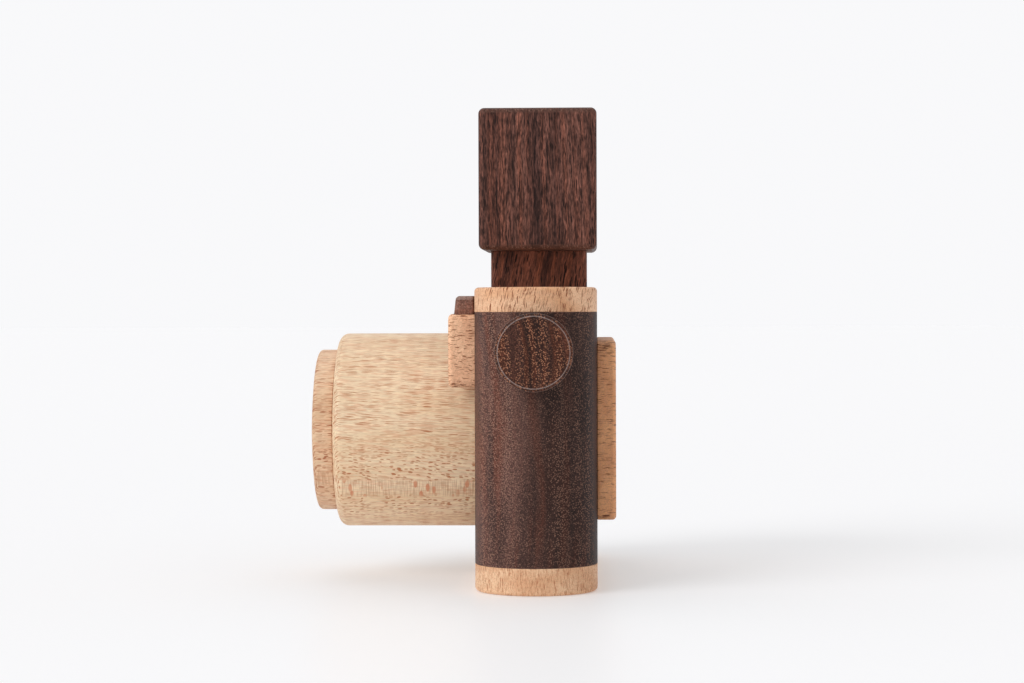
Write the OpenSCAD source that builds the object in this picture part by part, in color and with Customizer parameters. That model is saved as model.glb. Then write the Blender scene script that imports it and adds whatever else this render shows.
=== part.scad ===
// Wooden toy camera: walnut body between two beech plates, turning beech lens with a focus
// ring, sprung shutter key on the front, strap pegs, and a flash that turns and lifts off.
// +Z is up and the lens points along -Y. The origin is the centre of the base's underside.

/* [Body] */
// Width of the body, end to end
body_w = 150; // [146:1:160]
// Thickness of the body, front to rear
body_d = 40; // [38:1:44]
// Thickness of the beech base plate
bottom_plate_t = 8.8; // [7:0.2:12]
// Height of the walnut block between the plates
block_h = 82; // [80:1:90]
// Thickness of the beech top plate
top_plate_t = 8; // [7:0.5:12]
// Rounding of the plates' outer edges
plate_edge_r = 1.3; // [0.5:0.1:3]
// Length of each dowel that pins a plate to the block
plate_dowel_l = 16; // [12:1:18]

/* [Lens] */
// Height of the lens axis above the base
lens_z = 49.9; // [46:0.1:52]
// Diameter of the barrel
barrel_d = 67; // [62:1:70]
// Distance from the body's front face to the barrel's front face
barrel_front = 49.4; // [46:0.1:56]
// Rounding of the barrel's front edge
barrel_edge_r = 3; // [1:0.5:5]
// Diameter of the focus ring
ring_d = 55.7; // [54:0.1:58]
// How far the focus ring stands in front of the barrel
ring_proud = 8; // [7:0.5:12]
// Rounding of the focus ring's rim
ring_edge_r = 1.4; // [0.8:0.1:2]
// Diameter of the domed disc that stands for the glass
lens_disc_d = 39.8; // [36:0.2:42]

/* [Shutter key] */
// Middle of the key block across the body
key_x = 44; // [43:1:48]
// Width of the key block
key_block_w = 20; // [19:0.5:22]
// Depth of the key block in front of the body
key_block_d = 8.8; // [8.8:0.1:10]
// Height of the key block's underside
key_block_z = 66; // [65:1:68]
// Height of the key block's top face
key_block_top_z = 90.2; // [89:0.2:90.6]
// Height that the key stands above its block
key_proud = 5.9; // [5:0.1:8]
// How far the key can be pressed
key_travel = 3; // [2:0.5:3]

/* [Rear] */
// Width of the rear panel
panel_w = 104; // [96:1:106]
// Height of the rear panel's lower edge
panel_z = 22.2; // [18:0.1:24]
// Height of the rear panel
panel_h = 59.2; // [58:0.1:64]
// Thickness of the rear panel
panel_t = 6.15; // [5:0.05:8]
// Width of the walnut screen in the rear panel
screen_w = 62; // [56:1:66]
// Height of the screen
screen_h = 47.5; // [40:0.5:50]

/* [Viewfinder] */
// Middle of the viewfinder across the body
finder_x = -40; // [-42:1:-40]
// Height of the viewfinder's axis
finder_z = 71; // [70:0.5:72]
// Diameter of the hole that one looks through
finder_bore_d = 11; // [9:0.5:12]

/* [Strap pegs] */
// Height of the pegs
peg_z = 78; // [74:1:80]
// Diameter of a peg's head
peg_head_d = 25; // [20:1:28]
// Thickness of a peg's head
peg_head_t = 6; // [4:0.5:8]
// Gap between the body and a peg's head
peg_gap = 4; // [3:0.5:8]

/* [Flash] */
// Width of the flash head
head_w = 54; // [50:1:60]
// Height of the flash head
head_h = 48; // [44:1:56]
// Depth of the flash head
head_d = 40; // [36:1:44]
// Rounding of the flash head's edges
head_edge_r = 2; // [1:0.5:4]
// Width of the neck
neck_w = 20; // [18:1:24]
// Depth of the neck
neck_d = 33; // [30:1:36]
// Height of the neck
neck_h = 12.9; // [12:0.1:18]
// Diameter of the loose dowel that the flash turns on
flash_dowel_d = 10; // [8:0.5:10]

/* [Hidden] */
$fn = 96;
hull_fn = 32;                    // facets of the parts that a hull blends
eps = 0.01;                      // keeps a cut's face off the face it opens
glue_gap = 0.05;                 // radial room of a glued dowel or an inlay
run_gap = 0.06;                  // radial room of a piece that turns
face_gap = 0.3;                  // room between the flat faces of moving pieces

beech = [0.85, 0.70, 0.54];
beech_dark = [0.74, 0.56, 0.41];
walnut = [0.33, 0.21, 0.18];
steel = [0.66, 0.66, 0.68];

front_y = -body_d / 2;
rear_y = body_d / 2;
end_x = body_w / 2;
straight_l = body_w - body_d;    // flat stretch between the two round ends
block_top_z = bottom_plate_t + block_h;
top_z = block_top_z + top_plate_t;

plate_dowel_r = 4;
plate_dowel_x = straight_l / 2 - 5;
plate_dowel_in = 5.3;            // depth of a dowel inside a plate
dowel_end_gap = 0.4;             // air at a dowel's blind end

// Stations along the lens, counted from the body's front face
pivot_r = 12;
pivot_in = 12;
pivot_out = 14;
web_back = pivot_out + face_gap;
web_front = web_back + 8;
washer_t = 1.2;
washer_r = 8;
washer_back = web_front + 0.1;
screw_r = 2.5;
screw_head_r = 5.5;
screw_head_t = 3.2;
screw_in = 8;                    // length of the screw behind the body's front face
screw_slot_w = 1.2;
screw_slot_depth = 1.4;
tail_r = 22;                     // the focus ring's spigot
tail_back = barrel_front - 16;
tail_bore_r = 15;
groove_depth = 3;
groove_w = 4.4;
ring_pin_r = 2;
ring_pin_s = tail_back + 8;      // station of the ring pin
ring_back = barrel_front + face_gap;
ring_front = barrel_front + ring_proud;
ring_crown = 0.7;                // how far the ring's front face rises towards its middle
disc_back = ring_back + 1.7;
disc_edge_t = 3.5;
disc_crown = 1.8;
disc_r = lens_disc_d / 2;

key_wall = 2;                    // side walls of the key's pocket
key_front_wall = 1.6;
pocket_z = 74;
pocket_w = key_block_w - 2 * key_wall;
key_side_gap = 0.25;
key_w = pocket_w - 2 * key_side_gap;
key_front_y = front_y - key_block_d + key_front_wall + 0.2;
key_back_y = front_y - face_gap;
key_bottom_z = pocket_z + key_travel + 1;
key_top_z = key_block_top_z + key_proud;
key_taper = 0.5;
key_crown_r = 1.4;
key_back_r = 0.6;
spring_wire_d = 0.5;
spring_r = 1.25;                 // middle of the wire
spring_hole_r = 1.7;
spring_y = front_y - 4.8;
spring_z = pocket_z - 6;
spring_turns = 7;
spring_top_z = key_bottom_z + 2; // end of the spring's hole in the key
cross_pin_r = 1;
cross_pin_y = front_y - 1.25;
cross_pin_z = 81.2;
notch_depth = 2.3;
notch_low_z = cross_pin_z - cross_pin_r - 0.1;
notch_h = 2 * cross_pin_r + key_travel + 0.3;
block_dowel_r = 2;
block_dowel_x = 6.5;             // each side of the key block's middle
block_dowel_z = 70;
block_dowel_in_block = 6;
block_dowel_in_body = 8;
key_block_corner_r = 3;
key_block_edge_r = 1.4;

panel_corner_r = 5;
panel_edge_r = 1.3;
screen_t = 3;
screen_inset = 0.5;              // the screen's face lies this far below the panel's
screen_margin = 6.5;
screen_corner_r = 3;
screen_x = panel_w / 2 - screen_margin - screen_w / 2;
screen_z = panel_z + screen_margin;

finder_wall = 1.5;
finder_r = finder_bore_d / 2 + finder_wall;
finder_flange_r = finder_r + 2.5;
finder_flange_t = 1.5;
finder_rear_inset = 0.4;

peg_shaft_r = 6;
peg_in = 14;
peg_chamfer = 1;

flash_z = top_z + 0.1;           // the neck's underside
head_z = flash_z + neck_h;
flash_dowel_r = flash_dowel_d / 2;
flash_dowel_in = 16.8;           // below the top plate's upper face
flash_dowel_out = 9.4;
head_dowel_r = 3;
head_dowel_y = 11;
head_dowel_in_neck = 7;
head_dowel_in_head = 8;
neck_corner_r = 1.5;
window_w = 42;
window_h = 26;
window_t = 4;
window_inset = 0.4;
window_corner_r = 3;
window_z = head_z + head_h / 2 + 1.5;
window_ribs = 6;
rib_cut = 0.8;

// ---- shared shapes ----

// Right half of an upright rectangle whose outer corners are rounded below and above
module half_outline(half_w, h, r_low, r_high) {
    square([half_w - max(r_low, r_high), h]);
    translate([0, r_low]) square([half_w, h - r_low - r_high]);
    if (r_low > 0) {
        square([half_w - r_low, h - r_high]);
        translate([half_w - r_low, r_low]) circle(r_low);
    }
    if (r_high > 0) {
        translate([0, r_low]) square([half_w - r_high, h - r_low]);
        translate([half_w - r_high, h - r_high]) circle(r_high);
    }
}

// Slab with the body's outline: two half-round ends and a straight stretch between them
module racetrack(h, r_low = 0, r_high = 0) {
    rotate([90, 0, 90])
        linear_extrude(straight_l, center = true) {
            half_outline(body_d / 2, h, r_low, r_high);
            mirror([1, 0, 0]) half_outline(body_d / 2, h, r_low, r_high);
        }
    for (side = [0, 1])
        mirror([side, 0, 0])
            translate([straight_l / 2, 0, 0])
                rotate([0, 0, -90])
                    rotate_extrude(angle = 180)
                        half_outline(body_d / 2, h, r_low, r_high);
}

// Rectangular pad on z = 0, centred, with round corners and a rounded upper rim
module pad(w, h, t, corner_r, edge_r) {
    hull()
        for (x = [-1, 1], y = [-1, 1])
            translate([x * (w / 2 - corner_r), y * (h / 2 - corner_r), 0])
                rotate_extrude($fn = hull_fn)
                    half_outline(corner_r, t, 0, min(edge_r, corner_r - eps));
}

// Rectangular prism on z = 0, centred, with round upright edges
module post(w, h, t, corner_r) {
    linear_extrude(t) {
        square([w - 2 * corner_r, h], center = true);
        square([w, h - 2 * corner_r], center = true);
        for (x = [-1, 1], y = [-1, 1])
            translate([x * (w / 2 - corner_r), y * (h / 2 - corner_r)]) circle(corner_r);
    }
}

// Round wire wound about the z axis, from z = 0 up to z = rise
module coil(coil_r, wire_r, rise, turns) {
    sides = 8;
    steps = 20 * turns;
    points = [
        for (i = [0:steps], j = [0:sides - 1])
            let (turn = 360 * turns * i / steps, around = 360 * j / sides,
                r = coil_r + wire_r * cos(around))
                [r * cos(turn), r * sin(turn), rise * i / steps + wire_r * sin(around)]];
    walls = [
        for (i = [0:steps - 1], j = [0:sides - 1])
            let (a = i * sides + j, b = i * sides + (j + 1) % sides)
                [a, a + sides, b + sides, b]];
    start_cap = [for (j = [0:sides - 1]) j];
    end_cap = [for (j = [sides - 1:-1:0]) steps * sides + j];
    polyhedron(points, concat(walls, [start_cap, end_cap]));
}

// Puts z = 0 on the body's front face with +z pointing forward, at the given x and height
module on_front(x, z) {
    translate([x, front_y, z]) rotate([90, 0, 0]) children();
}

// Puts z = 0 on the body's rear face with +z pointing to the rear
module on_rear(x, z) {
    translate([x, rear_y, z]) rotate([-90, 0, 0]) children();
}

// Axis of a peg: z = 0 at the body's end, +z pointing outwards
module at_end(side) {
    translate([side * end_x, 0, peg_z]) rotate([0, side * 90, 0]) children();
}

// The four dowels between plates and block, or their holes with a radial gap
module plate_dowel_shapes(gap, end_gap) {
    low_z = bottom_plate_t - plate_dowel_in;
    high_z = block_top_z + plate_dowel_in - plate_dowel_l;
    for (x = [-1, 1], z = [low_z, high_z])
        translate([x * plate_dowel_x, 0, z - end_gap])
            cylinder(h = plate_dowel_l + 2 * end_gap, r = plate_dowel_r + gap);
}

// The two dowels that hold the key block, or their holes
module block_dowel_shapes(gap, end_gap) {
    for (side = [-1, 1])
        on_front(key_x + side * block_dowel_x, block_dowel_z)
            translate([0, 0, -block_dowel_in_body - end_gap])
                cylinder(h = block_dowel_in_body + block_dowel_in_block + 2 * end_gap,
                    r = block_dowel_r + gap);
}

// The two dowels between neck and flash head, or their holes
module head_dowel_shapes(gap, end_gap) {
    for (side = [-1, 1])
        translate([0, side * head_dowel_y, head_z - head_dowel_in_neck - end_gap])
            cylinder(h = head_dowel_in_neck + head_dowel_in_head + 2 * end_gap,
                r = head_dowel_r + gap);
}

// Hole for the loose flash dowel
module flash_dowel_hole() {
    translate([0, 0, top_z - flash_dowel_in - dowel_end_gap])
        cylinder(h = flash_dowel_in + flash_dowel_out + 2 * dowel_end_gap,
            r = flash_dowel_r + run_gap);
}

// ---- body ----

module bottom_plate() {
    color(beech)
        difference() {
            racetrack(bottom_plate_t, r_low = plate_edge_r);
            plate_dowel_shapes(glue_gap, dowel_end_gap);
        }
}

module body_block() {
    color(walnut)
        difference() {
            translate([0, 0, bottom_plate_t]) racetrack(block_h);
            plate_dowel_shapes(glue_gap, dowel_end_gap);
            block_dowel_shapes(glue_gap, dowel_end_gap);
            flash_dowel_hole();
            on_front(0, lens_z)
                translate([0, 0, -pivot_in - dowel_end_gap])
                    cylinder(h = pivot_in + dowel_end_gap + 1, r = pivot_r + glue_gap);
            on_front(finder_x, finder_z)
                translate([0, 0, -body_d - 1])
                    cylinder(h = body_d + 2, r = finder_r + glue_gap);
            for (side = [-1, 1])
                at_end(side)
                    translate([0, 0, -peg_in - dowel_end_gap])
                        cylinder(h = peg_in + dowel_end_gap + 1, r = peg_shaft_r + glue_gap);
        }
}

module top_plate() {
    color(beech)
        difference() {
            translate([0, 0, block_top_z]) racetrack(top_plate_t, r_high = plate_edge_r);
            plate_dowel_shapes(glue_gap, dowel_end_gap);
            flash_dowel_hole();
        }
}

module plate_dowels() {
    color(beech) plate_dowel_shapes(0, 0);
}

module rear_panel() {
    color(beech_dark)
        difference() {
            on_rear(0, panel_z + panel_h / 2)
                pad(panel_w, panel_h, panel_t, panel_corner_r, panel_edge_r);
            on_rear(screen_x, screen_z + screen_h / 2)
                translate([0, 0, panel_t - screen_t - screen_inset])
                    post(screen_w + 2 * glue_gap, screen_h + 2 * glue_gap,
                        screen_t + screen_inset + 1, screen_corner_r + glue_gap);
            on_rear(finder_x, finder_z)
                translate([0, 0, -1]) cylinder(h = panel_t + 2, r = finder_r + glue_gap);
        }
}

module rear_screen() {
    color(walnut)
        on_rear(screen_x, screen_z + screen_h / 2)
            translate([0, 0, panel_t - screen_t - screen_inset])
                post(screen_w, screen_h, screen_t, screen_corner_r);
}

module viewfinder_tube() {
    tube_l = body_d + panel_t - finder_rear_inset;
    color(beech)
        on_front(finder_x, finder_z)
            difference() {
                union() {
                    translate([0, 0, -tube_l]) cylinder(h = tube_l + finder_flange_t, r = finder_r);
                    rotate_extrude()
                        half_outline(finder_flange_r, finder_flange_t, 0, finder_flange_t / 2);
                }
                translate([0, 0, -tube_l - 1])
                    cylinder(h = tube_l + finder_flange_t + 2, d = finder_bore_d);
            }
}

// ---- strap pegs ----

module strap_peg(side) {
    head_r = peg_head_d / 2;
    color(walnut)
        at_end(side) {
            translate([0, 0, -peg_in]) cylinder(h = peg_in + peg_gap + eps, r = peg_shaft_r);
            translate([0, 0, peg_gap])
                rotate_extrude()
                    polygon([[0, 0], [head_r - peg_chamfer / 2, 0], [head_r, peg_chamfer / 2],
                        [head_r, peg_head_t - peg_chamfer], [head_r - peg_chamfer, peg_head_t],
                        [0, peg_head_t]]);
        }
}

module strap_peg_left() {
    strap_peg(1);
}

module strap_peg_right() {
    strap_peg(-1);
}

// ---- shutter key ----

module button_block() {
    block_h_key = key_block_top_z - key_block_z;
    color(beech_dark)
        difference() {
            on_front(key_x, key_block_z + block_h_key / 2)
                pad(key_block_w, block_h_key, key_block_d, key_block_corner_r, key_block_edge_r);
            translate([key_x - pocket_w / 2, front_y - key_block_d + key_front_wall, pocket_z])
                cube([pocket_w, key_block_d, block_h_key]);
            translate([key_x, spring_y, spring_z]) cylinder(h = block_h_key, r = spring_hole_r);
            button_pin_slot();
            block_dowel_shapes(glue_gap, dowel_end_gap);
        }
}

// Groove across the block's back in which the cross pin lies
module button_pin_slot() {
    slot_r = cross_pin_r + glue_gap;
    slot_l = key_block_w - 0.8;
    translate([key_x - slot_l / 2, cross_pin_y, cross_pin_z]) {
        rotate([0, 90, 0]) cylinder(h = slot_l, r = slot_r);
        translate([0, 0, -slot_r]) cube([slot_l, 2 * cross_pin_r, 2 * slot_r]);
    }
}

module block_dowels() {
    color(beech) block_dowel_shapes(0, 0);
}

module button_pin() {
    pin_l = key_block_w - 1;
    color(steel)
        translate([key_x - pin_l / 2, cross_pin_y, cross_pin_z])
            rotate([0, 90, 0]) cylinder(h = pin_l, r = cross_pin_r);
}

module button_spring() {
    spring_l = spring_top_z - spring_z - 0.2;
    color(steel)
        translate([key_x, spring_y, spring_z + 0.1 + spring_wire_d / 2])
            coil(spring_r, spring_wire_d / 2, spring_l - spring_wire_d, spring_turns);
}

module shutter_button() {
    crown_z = key_top_z - key_crown_r;
    color(walnut)
        difference() {
            hull() {
                translate([key_x - key_w / 2, key_front_y, key_bottom_z])
                    cube([key_w, key_back_y - key_front_y, key_block_top_z - key_bottom_z]);
                for (side = [-1, 1]) {
                    translate([key_x + side * (key_w / 2 - key_taper - key_crown_r),
                        key_front_y + key_taper + key_crown_r, crown_z])
                        sphere(key_crown_r, $fn = hull_fn);
                    translate([key_x + side * (key_w / 2 - key_taper - key_crown_r),
                        key_back_y - key_crown_r, crown_z])
                        cylinder(h = key_crown_r, r = key_back_r, $fn = hull_fn);
                    translate([key_x + side * (key_w / 2 - key_taper - key_back_r),
                        key_back_y - key_back_r, crown_z])
                        sphere(key_back_r, $fn = hull_fn);
                }
            }
            translate([key_x - key_block_w / 2, key_back_y - notch_depth, notch_low_z])
                cube([key_block_w, notch_depth + 1, notch_h]);
            translate([key_x, spring_y, key_bottom_z - 1])
                cylinder(h = spring_top_z - key_bottom_z + 1, r = spring_hole_r);
        }
}

// ---- lens ----

module lens_pivot() {
    color(beech)
        on_front(0, lens_z)
            difference() {
                translate([0, 0, -pivot_in]) cylinder(h = pivot_in + pivot_out, r = pivot_r);
                translate([0, 0, -screw_in - 1])
                    cylinder(h = screw_in + pivot_out + 2, r = screw_r + glue_gap);
            }
}

module lens_washer() {
    color(steel)
        on_front(0, lens_z)
            translate([0, 0, washer_back])
                difference() {
                    cylinder(h = washer_t, r = washer_r);
                    translate([0, 0, -1]) cylinder(h = washer_t + 2, r = screw_r + glue_gap);
                }
}

module lens_screw() {
    head_back = washer_back + washer_t;
    color(steel)
        on_front(0, lens_z)
            difference() {
                union() {
                    translate([0, 0, -screw_in])
                        cylinder(h = screw_in + head_back + eps, r = screw_r);
                    translate([0, 0, head_back])
                        rotate_extrude()
                            half_outline(screw_head_r, screw_head_t, 0, screw_head_t / 2);
                }
                translate([-screw_head_r, -screw_slot_w / 2,
                    head_back + screw_head_t - screw_slot_depth])
                    cube([2 * screw_head_r, screw_slot_w, screw_head_t]);
            }
}

module lens_barrel() {
    color(beech)
        on_front(0, lens_z)
            difference() {
                translate([0, 0, face_gap])
                    rotate_extrude()
                        half_outline(barrel_d / 2, barrel_front - face_gap, 0, barrel_edge_r);
                cylinder(h = web_back, r = pivot_r + run_gap);
                cylinder(h = web_front + 1, r = screw_r + run_gap);
                translate([0, 0, web_front]) cylinder(h = barrel_front, r = tail_r + run_gap);
                translate([0, 0, ring_pin_s])
                    rotate([90, 0, 0]) cylinder(h = barrel_d, r = ring_pin_r + glue_gap);
            }
}

module ring_pin() {
    tip_r = tail_r - groove_depth + dowel_end_gap;
    color(beech)
        on_front(0, lens_z)
            translate([0, 0, ring_pin_s])
                rotate([90, 0, 0])
                    translate([0, 0, tip_r])
                        cylinder(h = barrel_d / 2 - tip_r - 0.3, r = ring_pin_r);
}

module focus_ring() {
    flange_t = ring_front - ring_crown - ring_back;
    color(beech)
        on_front(0, lens_z)
            rotate_extrude()
                difference() {
                    union() {
                        translate([0, tail_back]) square([tail_r, ring_back - tail_back + 1]);
                        translate([0, ring_back])
                            half_outline(ring_d / 2, flange_t, 0, ring_edge_r);
                        polygon([[0, ring_back + 1], [disc_r, ring_back + 1],
                            [ring_d / 2 - ring_edge_r, ring_front - ring_crown],
                            [disc_r + 1, ring_front], [0, ring_front]]);
                    }
                    square([tail_bore_r, ring_front + 1]);
                    translate([0, disc_back]) square([disc_r + glue_gap, ring_front]);
                    translate([tail_r - groove_depth, ring_pin_s - groove_w / 2])
                        square([groove_depth + 1, groove_w]);
                }
}

module lens_disc() {
    dome_r = (disc_r * disc_r + disc_crown * disc_crown) / (2 * disc_crown);
    color(walnut)
        on_front(0, lens_z)
            translate([0, 0, disc_back])
                rotate_extrude()
                    intersection() {
                        square([disc_r, disc_edge_t + disc_crown]);
                        translate([0, disc_edge_t + disc_crown - dome_r])
                            circle(dome_r, $fn = 720);
                    }
}

// ---- flash ----

module flash_dowel() {
    color(beech)
        translate([0, 0, top_z - flash_dowel_in])
            cylinder(h = flash_dowel_in + flash_dowel_out, r = flash_dowel_r);
}

module flash_neck() {
    color(walnut)
        difference() {
            translate([0, 0, flash_z]) post(neck_w, neck_d, neck_h, neck_corner_r);
            flash_dowel_hole();
            head_dowel_shapes(glue_gap, dowel_end_gap);
        }
}

module flash_head() {
    color(walnut)
        difference() {
            translate([0, 0, head_z + head_h / 2])
                intersection() {
                    translate([0, 0, -head_h / 2]) post(head_w, head_d, head_h, head_edge_r);
                    translate([0, head_d / 2, 0])
                        rotate([90, 0, 0]) post(head_w, head_h, head_d, head_edge_r);
                    translate([-head_w / 2, 0, 0])
                        rotate([90, 0, 90]) post(head_d, head_h, head_w, head_edge_r);
                }
            head_dowel_shapes(glue_gap, dowel_end_gap);
            translate([0, window_t + window_inset - head_d / 2, window_z])
                rotate([90, 0, 0])
                    post(window_w + 2 * glue_gap, window_h + 2 * glue_gap,
                        window_t + window_inset + 1, window_corner_r + glue_gap);
        }
}

module flash_head_dowels() {
    color(beech) head_dowel_shapes(0, 0);
}

module flash_window() {
    rib_pitch = window_h / (window_ribs + 1);
    face_y = window_inset - head_d / 2;
    color(beech)
        difference() {
            translate([0, face_y + window_t, window_z])
                rotate([90, 0, 0]) post(window_w, window_h, window_t, window_corner_r);
            for (i = [1:window_ribs])
                translate([0, face_y, window_z - window_h / 2 + i * rib_pitch])
                    rotate([45, 0, 0]) cube([window_w + 2, rib_cut, rib_cut], center = true);
        }
}

bottom_plate();
body_block();
top_plate();
plate_dowels();
rear_panel();
rear_screen();
viewfinder_tube();
strap_peg_left();
strap_peg_right();
button_block();
block_dowels();
button_pin();
button_spring();
shutter_button();
lens_pivot();
lens_screw();
lens_washer();
lens_barrel();
ring_pin();
focus_ring();
lens_disc();
flash_dowel();
flash_neck();
flash_head();
flash_head_dowels();
flash_window();
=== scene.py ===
"""Wooden toy camera with a swivel flash: the looks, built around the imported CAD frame.

The wood is a solid: every piece has a grain direction and a direction pointing away from
the tree's heart, and its rays, rings and pores are cut by whatever surface the piece has.
"""

import math

import bpy
import bmesh
from mathutils import Matrix, Vector


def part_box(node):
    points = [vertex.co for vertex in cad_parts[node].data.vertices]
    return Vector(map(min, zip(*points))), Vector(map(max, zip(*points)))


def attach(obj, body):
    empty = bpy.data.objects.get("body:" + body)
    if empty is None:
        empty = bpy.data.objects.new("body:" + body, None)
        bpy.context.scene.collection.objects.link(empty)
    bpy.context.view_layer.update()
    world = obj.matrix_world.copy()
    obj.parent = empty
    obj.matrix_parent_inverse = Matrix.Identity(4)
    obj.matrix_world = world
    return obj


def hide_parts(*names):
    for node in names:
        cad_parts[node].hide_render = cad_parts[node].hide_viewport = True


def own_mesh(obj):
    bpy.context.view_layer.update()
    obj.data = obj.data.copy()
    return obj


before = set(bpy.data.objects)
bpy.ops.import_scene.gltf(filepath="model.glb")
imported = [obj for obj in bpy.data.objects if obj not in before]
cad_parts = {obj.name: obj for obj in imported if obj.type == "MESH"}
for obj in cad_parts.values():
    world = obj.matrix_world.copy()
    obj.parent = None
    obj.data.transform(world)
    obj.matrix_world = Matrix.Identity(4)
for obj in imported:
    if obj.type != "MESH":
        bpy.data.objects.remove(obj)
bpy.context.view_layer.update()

MM = 0.001
X, Y, Z = Vector((1, 0, 0)), Vector((0, 1, 0)), Vector((0, 0, 1))


# ---------------------------------------------------------------- outlines and lofts

ARC_STEPS = 7          # faces in a quarter turn of an edge's rounding
ROUND_SIDES = 144      # sides of a turned piece
SHARP_ANGLE = math.radians(32)


def arc(centre, radius, start, end, steps):
    """Points on an arc in the plane, from start to end in degrees, both included."""
    turn = [math.radians(start + (end - start) * i / steps) for i in range(steps + 1)]
    return [(centre[0] + radius * math.cos(a), centre[1] + radius * math.sin(a)) for a in turn]


def racetrack(half_length, radius):
    """An outline with two half-round ends; the result takes an inset and gives its points."""
    def outline(inset):
        r = radius - inset
        middle = half_length - radius
        return arc((middle, 0), r, -90, 90, 64) + arc((-middle, 0), r, 90, 270, 64)
    return outline


def round_rectangle(half_w, half_h, corner, upper_corner=None):
    """A rectangle with round corners, as an outline that takes an inset. The corners at +y can
    have a radius of their own."""
    def outline(inset):
        points = []
        for sx, sy, start in ((1, 1, 0), (-1, 1, 90), (-1, -1, 180), (1, -1, 270)):
            full = upper_corner if upper_corner is not None and sy > 0 else corner
            r = max(full - inset, 0.02 * MM)
            middle = (sx * (half_w - inset - r), sy * (half_h - inset - r))
            points += arc(middle, r, start, start + 90, ARC_STEPS)
        return points
    return outline


def circle(radius, sides=ROUND_SIDES):
    """A circle as an outline that takes an inset."""
    def outline(inset):
        r = radius - inset
        return [(r * math.cos(math.tau * i / sides), r * math.sin(math.tau * i / sides))
                for i in range(sides)]
    return outline


def rim(height, low_r, high_r):
    """(inset, height, edge mark) up the side of a slab whose lower and upper edges are rounded. The edge
    mark is 1 on the roundings and stands for their wear and a painted highlight.
    """
    steps = []
    if low_r:
        steps += [(low_r * (1 - math.sin(a)), low_r * (1 - math.cos(a)), 1)
                  for a in [math.radians(90 * i / ARC_STEPS) for i in range(ARC_STEPS)]]
    steps += [(0, low_r, 0), (0, height - high_r, 0)]
    if high_r:
        steps += [(high_r * (1 - math.cos(a)), height - high_r * (1 - math.sin(a)), 1)
                  for a in [math.radians(90 * i / ARC_STEPS) for i in range(1, ARC_STEPS + 1)]]
    return steps


def build(name, make):
    """A mesh object from a function that fills a bmesh; make gets the bmesh and its layer that marks edges
    for wear and a painted highlight.
    """
    bm = bmesh.new()
    wear_and_shine = bm.verts.layers.float.new("wear_and_shine")
    make(bm, wear_and_shine)
    bmesh.ops.remove_doubles(bm, verts=bm.verts, dist=1e-7)
    bmesh.ops.recalc_face_normals(bm, faces=bm.faces)
    mesh = bpy.data.meshes.new(name)
    bm.to_mesh(mesh)
    bm.free()
    piece = bpy.data.objects.new(name, mesh)
    bpy.context.scene.collection.objects.link(piece)
    return piece


def bridge(bm, loops, closed_ring=False):
    """Quads between loops of equally many vertices, and flat ends unless the loops form a ring."""
    pairs = list(zip(loops, loops[1:])) + ([(loops[-1], loops[0])] if closed_ring else [])
    for low, high in pairs:
        for i in range(len(low)):
            j = (i + 1) % len(low)
            bm.faces.new((low[i], low[j], high[j], high[i]))
    if not closed_ring:
        bm.faces.new(list(reversed(loops[0])))
        bm.faces.new(loops[-1])


def slab(name, outline, steps, place):
    """A solid that rises through an outline's insets. place puts its z = 0 plane in the frame."""
    def make(bm, wear_and_shine):
        loops = []
        for inset, height, worn_and_lit in steps:
            loop = []
            for x, y in outline(inset):
                vert = bm.verts.new(place @ Vector((x, y, height)))
                vert[wear_and_shine] = worn_and_lit
                loop.append(vert)
            loops.append(loop)
        bridge(bm, loops)
    return build(name, make)


def turned(name, profile, place, hollow=False):
    """A solid turned on a lathe from a profile of (radius, height, edge mark), the edge mark standing for
    wear and a painted highlight. A hollow profile goes round and closes on itself; the other kind ends in
    flat faces."""
    def make(bm, wear_and_shine):
        loops = []
        for radius, height, worn_and_lit in profile:
            loop = []
            for i in range(ROUND_SIDES):
                a = math.tau * i / ROUND_SIDES
                vert = bm.verts.new(
                    place @ Vector((radius * math.cos(a), radius * math.sin(a), height)))
                vert[wear_and_shine] = worn_and_lit
                loop.append(vert)
            loops.append(loop)
        bridge(bm, loops, closed_ring=hollow)
    return build(name, make)


def round_corner(radius, height, r):
    """Profile points from the side to the top, round a corner of radius r whose centre is given."""
    return [(a, b, 1) for a, b in arc((radius, height), r, 0, 90, ARC_STEPS)]


def facing(origin, direction):
    """Placement with z = 0 at origin, +z along direction, and the frame's up as its y where it can."""
    z_axis = Vector(direction).normalized()
    y_axis = Z if abs(z_axis.dot(Z)) < 0.9 else Y
    x_axis = y_axis.cross(z_axis).normalized()
    y_axis = z_axis.cross(x_axis)
    turn = Matrix((x_axis, y_axis, z_axis)).transposed().to_4x4()
    return Matrix.Translation(origin) @ turn


def cut(piece, *cutters):
    """Takes the cutters out of the piece and deletes them."""
    for cutter in cutters:
        change = piece.modifiers.new("cut", "BOOLEAN")
        change.operation = "DIFFERENCE"
        change.solver = "EXACT"
        change.object = cutter
    graph = bpy.context.evaluated_depsgraph_get()
    mesh = bpy.data.meshes.new_from_object(piece.evaluated_get(graph))
    old = piece.data
    piece.modifiers.clear()
    piece.data = mesh
    bpy.data.meshes.remove(old)
    for cutter in cutters:
        bpy.data.objects.remove(cutter)
    return piece


def soften(piece, width):
    """Breaks the sharp edges that are left, such as the rim of a hole, as sandpaper does."""
    change = piece.modifiers.new("soften", "BEVEL")
    change.width = width
    change.segments = 2
    change.limit_method = "ANGLE"
    change.angle_limit = math.radians(50)
    return piece


def settle(piece, material, body, slot, *nodes):
    """Shading, material, body and the CAD nodes that the piece stands for; the slot argument is not used.
    """
    piece.data.shade_smooth()
    piece.data.set_sharp_from_angle(angle=SHARP_ANGLE)
    normals = piece.modifiers.new("normals", "WEIGHTED_NORMAL")
    normals.keep_sharp = True
    piece.data.materials.clear()
    piece.data.materials.append(material)
    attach(piece, body)
    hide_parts(*nodes)
    return piece


# ---------------------------------------------------------------- shader helper

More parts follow.
